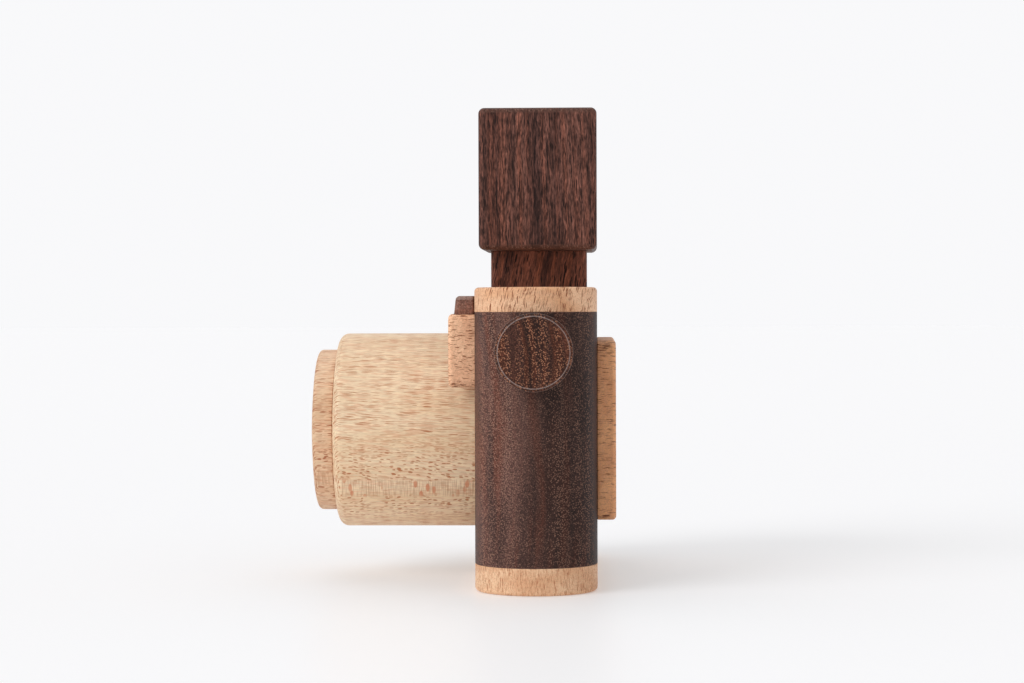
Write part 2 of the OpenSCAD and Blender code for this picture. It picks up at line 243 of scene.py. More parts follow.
class Shader:
    """Adds nodes to a new material and links them, so that a material reads like a formula."""

    def __init__(self, name):
        self.material = bpy.data.materials.new(name)
        self.material.use_nodes = True
        self.tree = self.material.node_tree
        self.tree.nodes.clear()

    def feed(self, socket, value):
        if isinstance(value, bpy.types.NodeSocket):
            self.tree.links.new(value, socket)
        else:
            socket.default_value = value

    def add(self, kind, *inputs, **settings):
        node = self.tree.nodes.new(kind)
        for key, value in settings.items():
            setattr(node, key, value)
        for socket, value in zip(node.inputs, inputs):
            self.feed(socket, value)
        return node

    def math(self, operation, *values):
        return self.add("ShaderNodeMath", *values, operation=operation).outputs[0]

    def plus(self, a, b):
        return self.math("ADD", a, b)

    def times(self, a, b):
        return self.math("MULTIPLY", a, b)

    def flip(self, a):
        return self.math("SUBTRACT", 1.0, a)

    def join(self, x, y, z):
        return self.add("ShaderNodeCombineXYZ", x, y, z).outputs[0]

    def along(self, vector, axis):
        node = self.add("ShaderNodeVectorMath", vector, tuple(axis), operation="DOT_PRODUCT")
        return node.outputs["Value"]

    def step(self, value, low, high):
        """0 below low, 1 above high, smooth between; the other way round where high is below low."""
        node = self.add("ShaderNodeMapRange", interpolation_type="SMOOTHSTEP")
        lows, highs = (0.0, 1.0) if low < high else (1.0, 0.0)
        for key, given in (("Value", value), ("From Min", min(low, high)),
                           ("From Max", max(low, high)), ("To Min", lows), ("To Max", highs)):
            self.feed(node.inputs[key], given)
        return node.outputs["Result"]

    def noise(self, vector, detail=2.0, roughness=0.5):
        node = self.add("ShaderNodeTexNoise")
        self.feed(node.inputs["Vector"], vector)
        self.feed(node.inputs["Scale"], 1.0)
        self.feed(node.inputs["Detail"], detail)
        self.feed(node.inputs["Roughness"], roughness)
        return node.outputs[0]

    def cells(self, vector):
        """Distance to the nearest random point, and a random number of its own for each point."""
        node = self.add("ShaderNodeTexVoronoi")
        self.feed(node.inputs["Vector"], vector)
        self.feed(node.inputs["Scale"], 1.0)
        own = self.add("ShaderNodeSeparateColor", node.outputs["Color"]).outputs[0]
        return node.outputs["Distance"], own

    def mix(self, factor, a, b):
        node = self.add("ShaderNodeMix", data_type="RGBA")
        self.feed(node.inputs[0], factor)
        self.feed(node.inputs[6], a)
        self.feed(node.inputs[7], b)
        return node.outputs[2]

    def shade(self, colour, factor):
        """The colour with its brightness multiplied by a factor near 1."""
        node = self.add("ShaderNodeVectorMath", operation="SCALE")
        self.feed(node.inputs[0], colour)
        self.feed(node.inputs["Scale"], factor)
        return node.outputs[0]

    def finish(self, colour, roughness, bump_height, bump_distance, specular=0.5, metallic=0.0):
        """The surface itself."""
        bump = self.add("ShaderNodeBump")
        self.feed(bump.inputs["Strength"], 1.0)
        self.feed(bump.inputs["Distance"], bump_distance)
        self.feed(bump.inputs["Height"], bump_height)
        surface = self.add("ShaderNodeBsdfPrincipled")
        self.feed(surface.inputs["Base Color"], colour)
        self.feed(surface.inputs["Roughness"], roughness)
        self.feed(surface.inputs["Normal"], bump.outputs["Normal"])
        self.feed(surface.inputs["Specular IOR Level"], specular)
        self.feed(surface.inputs["Metallic"], metallic)
        output = self.add("ShaderNodeOutputMaterial")
        self.feed(output.inputs["Surface"], surface.outputs[0])
        return self.material


def colour(red, green, blue):
    """A colour given as a screen shows it, from 0 to 255, as the linear colour that shaders use."""
    def linear(c):
        c /= 255
        return c / 12.92 if c <= 0.04045 else ((c + 0.055) / 1.055) ** 2.4
    return (linear(red), linear(green), linear(blue), 1.0)


# ---------------------------------------------------------------- wood

class Wood:
    """A solid piece of wood, measured in millimetres from the piece's middle: along the grain (u),
    away from the tree's heart (r, and across before any wobble), round the heart (t) and outwards
    through the curved growth rings (ring). end, turning and quartered, from 0 to 1, say how far
    the surface shows end grain, nears the quartered face and is exactly it. The edge mark read
    from the mesh stands for the edges' wear and a painted highlight along them. seed moves the
    pattern, wobble bends it by up to so many millimetres, and curve is the radius of the rings."""

    def __init__(self, name, node, grain, radial, seed, wobble, curve):
        s = self.s = Shader(name)
        grain, radial = Vector(grain).normalized(), Vector(radial)
        radial = (radial - grain * radial.dot(grain)).normalized()
        tangent = grain.cross(radial)
        here = s.add("ShaderNodeTexCoord")
        scaled = s.add("ShaderNodeVectorMath", operation="SCALE")
        s.feed(scaled.inputs[0], here.outputs["Object"])
        s.feed(scaled.inputs["Scale"], 1 / MM)
        low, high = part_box(node)
        middle = tuple((low + high) / (2 * MM))
        local = s.add("ShaderNodeVectorMath", scaled.outputs[0], middle, operation="SUBTRACT")
        u, r, t = (s.along(local.outputs[0], axis) for axis in (grain, radial, tangent))
        self.across = r
        ring = s.plus(r, s.times(s.times(t, t), 1 / (2 * curve)))
        self.u, r, t = s.plus(u, seed), s.plus(r, 1.7 * seed), s.plus(t, 2.3 * seed)
        wave = s.times(s.plus(self.grain_noise(self.u, r, t, 34, 15, 15), -0.5), wobble)
        fine = s.times(s.plus(self.grain_noise(self.u, r, t, 7, 3.5, 3.5), -0.5), wobble * 0.7)
        shift = s.plus(wave, fine)
        self.r, self.t = s.plus(r, shift), s.plus(t, s.plus(s.times(wave, -0.8), fine))
        self.ring = s.plus(s.plus(ring, 1.7 * seed), shift)
        normal = here.outputs["Normal"]
        self.end = s.step(s.math("ABSOLUTE", s.along(normal, grain)), 0.12, 0.5)
        flat = s.math("ABSOLUTE", s.along(normal, tangent))
        self.turning = s.step(flat, 0.8, 0.96)
        self.quartered = s.step(flat, 0.991, 0.998)
        # Edge mark from the mesh: wear on the rounded edges, and a painted highlight along them
        self.worn_and_lit = s.add("ShaderNodeAttribute", attribute_name="wear_and_shine").outputs["Fac"]

    def grain_noise(self, u, r, t, size_u, size_r, size_t, detail=1.0, roughness=0.5):
        """Noise whose features are so many millimetres large in each direction of the wood."""
        s = self.s
        return s.noise(s.join(s.times(u, 1 / size_u), s.times(r, 1 / size_r), s.times(t, 1 / size_t)),
                       detail, roughness)

    def figure(self, size_u, size_r, size_t, detail=1.0, roughness=0.5):
        """Noise drawn out along the grain."""
        return self.grain_noise(self.u, self.r, self.t, size_u, size_r, size_t, detail, roughness)

    def ring_figure(self, size, detail=1.0, size_u=140.0, size_t=40.0):
        """Noise that follows the growth rings."""
        return self.grain_noise(self.u, self.ring, self.t, size_u, size, size_t, detail)

    def spindles(self, long, deep, thick, spacing, keep, place=0.0, bold=0.0):
        """Scattered lens-shaped bodies, 0 to 1, each up to so many millimetres long along the
        grain, deep away from the heart and thick round it. spacing is how many sizes apart they
        lie, keep the share of places that hold one and bold the share of those at full strength."""
        s = self.s
        at = s.join(s.times(s.plus(self.u, place), 1 / (long * spacing)),
                    s.times(self.r, 1 / (deep * spacing)), s.times(self.t, 1 / (thick * spacing)))
        distance, own = s.cells(at)
        reach = 0.5 / spacing
        return s.times(s.step(distance, reach, reach * 0.7), s.step(own, 1 - keep, 1 - keep * bold))


def beech(name, node, grain, radial, light, deep, seed, wobble=1.2, curve=70.0, rays=1.0,
          long=4.0, depth=4.5, thick=0.26, mark=colour(176, 108, 68), fine_rays=1.0):
    """Steamed beech: pale, with short brown rays, a fine even fibre and faint rings. light and
    deep are its two tones. long, depth and thick are the size in millimetres of the largest rays,
    mark is their colour, and rays and fine_rays the strength of the large and the small ones."""
    wood = Wood(name, node, grain, radial, seed, wobble, curve)
    s = wood.s
    # Rings, fibre and the pink flush of steamed wood
    body = s.mix(s.step(wood.ring_figure(7.0, 2.0, 60.0, 16.0), 0.3, 0.7), light, deep)
    body = s.shade(body, s.plus(0.96, s.times(wood.ring_figure(1.3), 0.08)))
    fibre = wood.figure(5.0, 0.42, 0.42, 2.0, 0.6)
    body = s.shade(body, s.plus(0.77, s.times(fibre, 0.46)))
    flush = s.times(s.step(wood.figure(5, 0.7, 0.7), 0.45, 0.68), 0.42)
    body = s.mix(flush, body, colour(216, 156, 120))

    # Rays: large ones in loose rows, and small ones that show most near the quartered face
    large = s.math("MAXIMUM", wood.spindles(long, depth, thick, 1.2, 0.9, bold=0.1),
                   wood.spindles(0.65 * long, depth, 0.8 * thick, 1.2, 0.9, 61.0, 0.2))
    small = wood.spindles(1.9, 0.4 * depth, 0.13, 1.1, 0.9, bold=0.3)
    rows = s.plus(0.4, s.times(s.step(wood.figure(26, 1.3, 1.3), 0.38, 0.6), 0.6))
    large = s.times(s.times(large, rows), s.flip(s.times(wood.turning, 0.6)))
    large = s.times(large, s.plus(1.0, s.times(wood.end, 0.5)))
    small = s.times(small, s.plus(0.2, s.times(wood.turning, 0.8)))
    marks = s.math("MAXIMUM", s.times(large, 0.95 * rays), s.times(small, 0.9 * fine_rays))
    marks = s.times(marks, s.flip(s.times(wood.quartered, 0.7)))
    body = s.mix(marks, body, mark)

    # The quartered face has fine lines and broad flakes instead
    lines = s.step(wood.figure(0.4, 9.0, 3.0, 2.0), 0.4, 0.62)
    body = s.mix(s.times(s.times(lines, wood.quartered), 0.5), body, colour(182, 132, 98))
    flakes = s.times(wood.spindles(1.6, 4.0, 1.6, 1.35, 0.6, 23.0, 0.3), wood.quartered)
    body = s.mix(s.times(flakes, 0.75), body, colour(206, 124, 84))

    # Pores, which darken the end grain most, and rounded edges brightened for wear and as a painted
    # highlight
    specks = s.step(wood.figure(3, 0.32, 0.32), 0.52, 0.72)
    body = s.shade(body, s.flip(s.times(specks, s.plus(0.05, s.times(wood.end, 0.16)))))
    body = s.shade(body, s.flip(s.times(wood.end, 0.03)))
    body = s.shade(body, s.plus(1.0, s.times(s.times(wood.worn_and_lit, fibre), 0.07)))

    rough = s.plus(0.42, s.plus(s.times(fibre, 0.14), s.times(marks, 0.12)))
    height = s.plus(s.times(fibre, 0.5), s.times(marks, -0.7))
    return s.finish(body, rough, height, 0.05 * MM, 0.35)


def walnut(name, node, grain, radial, dark, mid, red, seed, wobble=1.4, curve=60.0, pores=1.0,
           band=8.0, dots=colour(158, 120, 104), dot_size=0.5, rear_band_and_shade=0.0, contrast=1.0,
           edge=colour(128, 100, 90), end_dark=0.0, dot_gap=1.3, rows=0.3):
    """Oiled walnut: broad dark bands, red streaks, and pores that show as dark lines along the
    grain and as pale dots where it is cut across. band is the width of the dark bands, dot_size
    the pores' in millimetres, and dot_gap how many sizes apart they lie. The rear-side argument
    is how much darker the side away from the heart gets: partly a darker band in the wood, partly
    painted shade on the side turned away from the key light. end_dark is how much darker the end
    grain is, contrast the strength of streaks and fibre, and rows how much the dots keep to the
    rings. edge is the colour of the rounded edges, for their wear and as a painted highlight."""
    wood = Wood(name, node, grain, radial, seed, wobble, curve)
    s = wood.s
    # Bands, red streaks, the darker rear side (partly a darker band in the wood, partly painted shade away
    # from the key light), and the streaks and fibre along the grain
    body = s.mix(s.step(wood.ring_figure(band), 0.28, 0.7), dark, mid)
    reds = s.times(s.step(wood.ring_figure(band / 2.6), 0.42, 0.74), 0.6)
    body = s.mix(reds, body, red)
    # Painted shade, together with a darker band in the wood: darker towards the side away from the heart
    outer = s.times(s.step(wood.across, -14, 8), rear_band_and_shade)
    body = s.shade(body, s.flip(outer))
    streak = wood.figure(12, 0.62, 0.62, 3.0, 0.7)
    body = s.shade(body, s.plus(1.0, s.times(s.plus(streak, -0.5), 2.6 * contrast)))
    fibre = wood.figure(2.2, 0.4, 0.4, 2.0, 0.6)
    relief = s.plus(2.2 * contrast, s.times(wood.end, 0.8))
    body = s.shade(body, s.plus(1.0, s.times(s.plus(fibre, -0.5), relief)))
    body = s.shade(body, s.flip(s.times(wood.end, end_dark)))

    # Pores: dark and hollow along the grain, pale dots where they are cut across
    short = wood.spindles(3.6, dot_size, dot_size, dot_gap, 0.95, bold=0.35)
    long = wood.spindles(8.0, 0.42, 0.42, 2.0, 0.7, bold=0.5)
    hollow = s.math("MAXIMUM", s.times(short, 0.7 * pores), s.times(long, 0.9 * pores))
    side = s.mix(hollow, body, colour(24, 13, 11))
    crowded = s.step(wood.ring_figure(0.5 * band), 0.3, 0.62)
    spread = s.plus(0.75 - rows, s.times(crowded, rows))
    # The pale dots take the same painted shade towards the side away from the heart
    pale = s.shade(dots[:3], s.flip(s.times(outer, 0.5)))
    across = s.mix(s.times(s.math("MAXIMUM", short, long), spread), body, pale)
    body = s.mix(wood.end, side, across)
    # Rounded edges take the edge colour, for their wear and as a painted highlight
    body = s.mix(s.times(wood.worn_and_lit, s.times(streak, 0.9)), body, edge)

    rough = s.plus(0.4, s.plus(s.times(streak, 0.12), s.times(hollow, 0.2)))
    height = s.plus(s.times(fibre, 0.4), s.times(s.times(hollow, s.flip(wood.end)), -1.0))
    return s.finish(body, rough, height, 0.08 * MM, 0.14)


def steel(name):
    """Plain bright steel with fine turning marks."""
    s = Shader(name)
    scaled = s.add("ShaderNodeVectorMath", operation="SCALE")
    s.feed(scaled.inputs[0], s.add("ShaderNodeTexCoord").outputs["Object"])
    s.feed(scaled.inputs["Scale"], 4 / MM)
    marks = s.noise(scaled.outputs[0], 2.0)
    tone = s.mix(marks, colour(168, 168, 172), colour(205, 205, 208))
    return s.finish(tone, s.plus(0.24, s.times(marks, 0.2)), marks, 0.01 * MM, metallic=1.0)


PALE, TAN = colour(240, 216, 182), colour(231, 202, 164)
RAY_TILT = math.radians(34)        # how far the rays of barrel and ring lean from upright
RAY_DIRECTION = (math.sin(RAY_TILT), 0, math.cos(RAY_TILT))

beech_top = beech("beech_top", "top_plate", X, (0, 0.2, 1), colour(240, 194, 155),
                  colour(220, 164, 120), 41, wobble=2.2, depth=3.6, thick=0.32,
                  mark=colour(140, 78, 42), fine_rays=0.5)
beech_base = beech("beech_base", "bottom_plate", X, (0, -0.05, 1), colour(240, 200, 161),
                   colour(222, 172, 131), 13, wobble=0.9, depth=2.6, thick=0.22, rays=0.8)
beech_barrel = beech("beech_barrel", "lens_barrel", (0, 1, -0.05), RAY_DIRECTION, PALE, TAN, 5,
                     wobble=0.9, long=5.6, thick=0.17, mark=colour(178, 106, 62))
beech_ring = beech("beech_ring", "focus_ring", Y, RAY_DIRECTION, colour(230, 198, 164),
                   colour(216, 180, 144), 71, wobble=1.4, thick=0.26, mark=colour(164, 92, 56), rays=1.15)
beech_panel = beech("beech_panel", "rear_panel", X, Y, colour(240, 176, 124), colour(216, 149, 102), 31,
                    wobble=1.4, depth=3.6, thick=0.34, mark=colour(114, 64, 36), fine_rays=0.6)
beech_block = beech("beech_block", "button_block", X, Y, colour(253, 203, 163), colour(231, 175, 137), 67,
                    wobble=2.2, depth=2.4, thick=0.34, mark=colour(150, 92, 58), curve=40.0)
beech_tube = beech("beech_tube", "viewfinder_tube", Y, X, PALE, TAN, 2)
beech_window = beech("beech_window", "flash_window", X, Y, PALE, TAN, 23)
beech_dowel = beech("beech_dowel", "flash_dowel", Z, X, PALE, TAN, 19)
beech_cross_dowel = beech("beech_cross_dowel", "lens_pivot", Y, X, PALE, TAN, 53)

DARK, MID, RED = colour(66, 44, 40), colour(106, 74, 65), colour(118, 68, 52)
walnut_body = walnut("walnut_body", "body_block", X, (0, 1, 0.05), colour(61, 41, 37),
                     colour(99, 69, 61), colour(112, 64, 49), 9, wobble=1.0, curve=300.0, rear_band_and_shade=0.6,
                     contrast=0.9, dots=colour(158, 118, 100), dot_size=0.42, dot_gap=1.05)
walnut_head = walnut("walnut_head", "flash_head", (0, -0.02, 1), Y, colour(62, 39, 34),
                     colour(100, 65, 55), colour(114, 67, 52), 17, band=4.5, curve=90.0,
                     contrast=1.65, end_dark=0.35, edge=colour(96, 66, 56))
walnut_neck = walnut("walnut_neck", "flash_neck", (0, 0.17, 1), Y, colour(70, 41, 34), colour(132, 80, 62),
                     colour(144, 84, 60), 29, band=5.0, pores=1.25, contrast=1.2)
# The peg's pale grey edge colour is a painted highlight along the chamfer's corners, with some wear
walnut_peg = walnut("walnut_peg", "strap_peg_left", X, (0, 1, 0.1), colour(40, 23, 19), colour(66, 40, 33),
                    colour(88, 46, 30), 7, band=5.0, dots=colour(178, 122, 92), dot_size=0.44,
                    dot_gap=1.1, rows=0.7, edge=colour(172, 154, 148))
# The key's light edge colour is a painted highlight on its rounded top edge, with some wear
walnut_key = walnut("walnut_key", "shutter_button", X, Z, colour(96, 64, 54), colour(128, 90, 77),
                    colour(126, 80, 62), 11, band=5.0, pores=0.6, contrast=0.6, edge=colour(170, 146, 136))
walnut_screen = walnut("walnut_screen", "rear_screen", X, Y, DARK, MID, RED, 59)
walnut_disc = walnut("walnut_disc", "lens_disc", X, Y, DARK, MID, RED, 37, curve=40.0)
plain_steel = steel("plain_steel")


# ---------------------------------------------------------------- sizes from the frame

def centre(node):
    low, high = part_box(node)
    return (low + high) / 2


def extent(node):
    low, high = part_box(node)
    return high - low


LENS_Z = centre("lens_barrel").z
FRONT_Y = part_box("body_block")[0].y
BODY_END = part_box("body_block")[1].x
PLATE_EDGE = 1.3 * MM      # rounding of the plates' and the rear panel's outer edges
BLOCK_EDGE = 0.22 * MM     # rounding of the edges between plates and block
RUN_GAP = 0.06 * MM        # radial room of what turns or slides
SEAT_GAP = 0.03 * MM       # room round what is glued in
FACE_GAP = 0.3 * MM        # room between the faces of what turns
END_GAP = 0.4 * MM         # room at a dowel's blind end
FLANGE_LIP = 2.5 * MM      # how far the viewfinder's flange stands out round its tube


def rod(start, direction, length, radius):
    """A cutter: a round rod from start along direction."""
    return slab("cutter", circle(radius, 72), [(0, 0, 0), (0, length, 0)], facing(start, direction))


def block(low, high):
    """A cutter: the box between two corners."""
    size = high - low
    middle = Vector(((low.x + high.x) / 2, (low.y + high.y) / 2, low.z))
    return slab("cutter", round_rectangle(size.x / 2, size.y / 2, 0), [(0, 0, 0), (0, size.z, 0)],
                Matrix.Translation(middle))


def flash_bore():
    """The hole for the loose flash dowel, from its blind end upwards."""
    low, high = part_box("flash_dowel")
    return rod(Vector((0, 0, low.z - END_GAP)), Z, high.z - low.z + 2 * END_GAP,
               (high.x - low.x) / 2 + RUN_GAP)


def finder_radius():
    """Outer radius of the viewfinder's tube, which is the flange's without its lip."""
    return extent("viewfinder_tube").x / 2 - FLANGE_LIP


def finder_bore():
    """The hole through body and rear panel that the viewfinder's tube fills."""
    middle = centre("viewfinder_tube")
    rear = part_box("rear_panel")[1].y + MM
    return rod(Vector((middle.x, rear, middle.z)), -Y, rear - FRONT_Y + MM,
               finder_radius() + SEAT_GAP)


# ---------------------------------------------------------------- body

def body_outline():
    size = extent("body_block")
    return racetrack(size.x / 2, size.y / 2)


def make_plates():
    for node, material, low_r, high_r in (
            ("bottom_plate", beech_base, PLATE_EDGE, BLOCK_EDGE),
            ("top_plate", beech_top, BLOCK_EDGE, PLATE_EDGE)):
        low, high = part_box(node)
        piece = slab(node + "_wood", body_outline(), rim(high.z - low.z, low_r, high_r),
                     Matrix.Translation((0, 0, low.z)))
        if node == "top_plate":
            soften(cut(piece, flash_bore()), 0.3 * MM)
        settle(piece, material, "camera", "beech_plates", node)


def make_block():
    low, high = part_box("body_block")
    piece = slab("body_block_wood", body_outline(), rim(high.z - low.z, BLOCK_EDGE, BLOCK_EDGE),
                 Matrix.Translation((0, 0, low.z)))
    pivot_low, pivot_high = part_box("lens_pivot")
    pivot_r = (pivot_high.z - pivot_low.z) / 2
    pivot_bore = rod(Vector((0, pivot_high.y, LENS_Z)), -Y, pivot_high.y - pivot_low.y, pivot_r + SEAT_GAP)
    cut(piece, flash_bore(), finder_bore(), pivot_bore)
    settle(piece, walnut_body, "camera", "walnut_body", "body_block")


# ---------------------------------------------------------------- strap pegs

def make_pegs():
    """Two mushroom-shaped pegs. The head's front edge is a chamfer, and the line of light on each
    of its two corners comes from four profile points, two just before it and two just after."""
    neck_r, neck_l, chamfer, back_edge = 6 * MM, 4 * MM, 1.0 * MM, 0.5 * MM
    near, far = 0.1 * MM, 0.26 * MM
    for node, side in (("strap_peg_left", 1), ("strap_peg_right", -1)):
        low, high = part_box(node)
        head_r = (high.z - low.z) / 2
        end = high.x if side > 0 else low.x
        out = abs(end) - BODY_END
        place = facing(Vector((end, 0, centre(node).z)), X * side)
        head_back = neck_l - out
        profile = [(neck_r, -out, 0), (neck_r, head_back, 0), (head_r - back_edge, head_back, 0),
                   (head_r, head_back + back_edge, 0)]
        for radius, height, heading, shine in ((head_r, -chamfer, 90, 0.5), (head_r - chamfer, 0, 135, 1)):
            before, after = math.radians(heading), math.radians(heading + 45)
            for a, way, worn_and_lit in ((before, -far, 0), (before, -near, shine),
                                 (after, near, shine), (after, far, 0)):
                profile.append((radius + way * math.cos(a), height + way * math.sin(a), worn_and_lit))
        piece = turned(node + "_wood", profile, place)
        settle(piece, walnut_peg, "camera", "walnut_peg", node)


# ---------------------------------------------------------------- rear panel, screen, viewfinder

def make_rear():
    low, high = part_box("rear_panel")
    size, middle = high - low, centre("rear_panel")
    screen_low, screen_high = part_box("rear_screen")
    screen_size, screen_middle = screen_high - screen_low, centre("rear_screen")
    corner, screen_corner = 5 * MM, 3 * MM
    screen_place = facing(Vector((screen_middle.x, screen_low.y, screen_middle.z)), Y)

    panel = slab("rear_panel_wood", round_rectangle(size.x / 2, size.z / 2, corner),
                 rim(size.y, 0, PLATE_EDGE), facing(Vector((middle.x, low.y, middle.z)), Y))
    pocket = slab("cutter", round_rectangle(screen_size.x / 2 + SEAT_GAP, screen_size.z / 2 + SEAT_GAP,
                                            screen_corner),
                  [(0, 0, 0), (0, size.y, 0)], screen_place)
    soften(cut(panel, pocket, finder_bore()), 0.25 * MM)
    settle(panel, beech_panel, "camera", "beech_block", "rear_panel")

    screen = slab("rear_screen_wood", round_rectangle(screen_size.x / 2, screen_size.z / 2, screen_corner),
                  rim(screen_size.y, 0, 0.35 * MM), screen_place)
    settle(screen, walnut_screen, "camera", "walnut_trim", "rear_screen")


def make_viewfinder():
    low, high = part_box("viewfinder_tube")
    outer, wall = finder_radius(), 1.5 * MM
    inner = outer - wall
    flange = outer + FLANGE_LIP
    front, rear = FRONT_Y - low.y, FRONT_Y - high.y
    edge, small = front / 2, 0.25 * MM
    profile = [(inner, rear + small, 1), (inner + small, rear, 1), (outer - small, rear, 1),
               (outer, rear + small, 1), (outer, 0, 0), (flange - small, 0, 0), (flange, small, 0)]
    profile += round_corner(flange - edge, front - edge, edge)
    profile += [(inner + small, front, 1), (inner, front - small, 1)]
    middle = centre("viewfinder_tube")
    piece = turned("viewfinder_tube_wood", profile,
                   facing(Vector((middle.x, FRONT_Y, middle.z)), -Y), hollow=True)
    settle(piece, beech_tube, "camera", "beech_lens", "viewfinder_tube")


# ---------------------------------------------------------------- shutter key and its block

def make_key():
    """The key, and the block with its pocket, the spring's well and the cross pin's slot."""
    low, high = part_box("button_block")
    size, middle = high - low, centre("button_block")
    key_low, key_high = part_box("shutter_button")
    key_size = key_high - key_low
    pin_low, pin_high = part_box("button_pin")
    travel, side_gap, front_gap, pin_gap = 3 * MM, 0.25 * MM, 0.2 * MM, 0.1 * MM
    spring = centre("button_spring")
    spring_r, spring_hole_depth = 1.7 * MM, 2 * MM
    block_corner, block_edge = 3 * MM, 1.4 * MM

    holder = slab("button_block_wood", round_rectangle(size.x / 2, size.z / 2, block_corner),
                  rim(size.y, 0, block_edge), facing(Vector((middle.x, high.y, middle.z)), -Y))
    pocket = block(Vector((key_low.x - side_gap, key_low.y - front_gap, key_low.z - travel - MM)),
                   Vector((key_high.x + side_gap, high.y + MM, high.z + MM)))
    slot = block(Vector((pin_low.x - SEAT_GAP, pin_low.y - SEAT_GAP, pin_low.z - SEAT_GAP)),
                 Vector((pin_high.x + SEAT_GAP, high.y + MM, pin_high.z + SEAT_GAP)))
    well = rod(Vector((spring.x, spring.y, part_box("button_spring")[0].z - SEAT_GAP)), Z, size.z, spring_r)
    soften(cut(holder, pocket, slot, well), 0.2 * MM)
    settle(holder, beech_block, "camera", "beech_block", "button_block")

    # The key: upright up to the block's top, then leaning in, with a rounded top edge that carries a
    # painted highlight and wear
    top_r, taper, back_taper, back_r = 1.4 * MM, 0.5 * MM, 0.3 * MM, 0.6 * MM
    shoulder = high.z - key_low.z
    rise = [(0, 0, 0), (0, shoulder, 0), (taper, key_size.z - top_r, 0)]
    for i in range(1, ARC_STEPS + 1):
        a = math.radians(90 * i / ARC_STEPS)
        rise.append((taper + top_r * (1 - math.cos(a)), key_size.z - top_r * (1 - math.sin(a)), 1))
    key_middle = Vector((key_low.x + key_size.x / 2, key_low.y + key_size.y / 2, key_low.z))

    def key_outline(inset):
        """The key leans in and rounds off in front and at the sides; its back hardly does."""
        back_inset = min(inset, back_taper)
        plain = round_rectangle(key_size.x / 2, key_size.y / 2 + (inset - back_inset) / 2,
                                taper + top_r, back_r + inset)(inset)
        return [(x, y + (inset - back_inset) / 2) for x, y in plain]

    key = slab("shutter_key_wood", key_outline, rise, Matrix.Translation(key_middle))
    notch = block(Vector((low.x, pin_low.y - pin_gap / 2, pin_low.z - pin_gap)),
                  Vector((high.x, high.y + MM, pin_high.z + travel + 2 * pin_gap)))
    spring_hole = rod(Vector((spring.x, spring.y, key_low.z - MM)), Z, spring_hole_depth + MM, spring_r)
    cut(key, notch, spring_hole)
    settle(key, walnut_key, "key", "walnut_trim", "shutter_button")


def make_spring():
    """The coil under the key, built at its rest length; the real one shortens as the key goes down."""
    low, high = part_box("button_spring")
    wire_r, turns, turn_steps, sides = 0.25 * MM, 7, 28, 10
    middle = centre("button_spring")
    coil_r = (high.x - low.x) / 2 - wire_r
    foot, top = low.z + wire_r, high.z - wire_r
    steps = turns * turn_steps

    def make(bm, wear_and_shine):
        loops = []
        for i in range(steps + 1):
            a = math.tau * i / turn_steps
            out = Vector((math.cos(a), math.sin(a), 0))
            spot = Vector((middle.x, middle.y, foot + (top - foot) * i / steps)) + coil_r * out
            loop = []
            for j in range(sides):
                b = math.tau * j / sides
                loop.append(bm.verts.new(spot + wire_r * (math.cos(b) * out + math.sin(b) * Z)))
            loops.append(loop)
        bridge(bm, loops)

    spring = build("button_spring_wire", make)
    settle(spring, plain_steel, "camera", "steel", "button_spring")
    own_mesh(spring)


# ---------------------------------------------------------------- lens

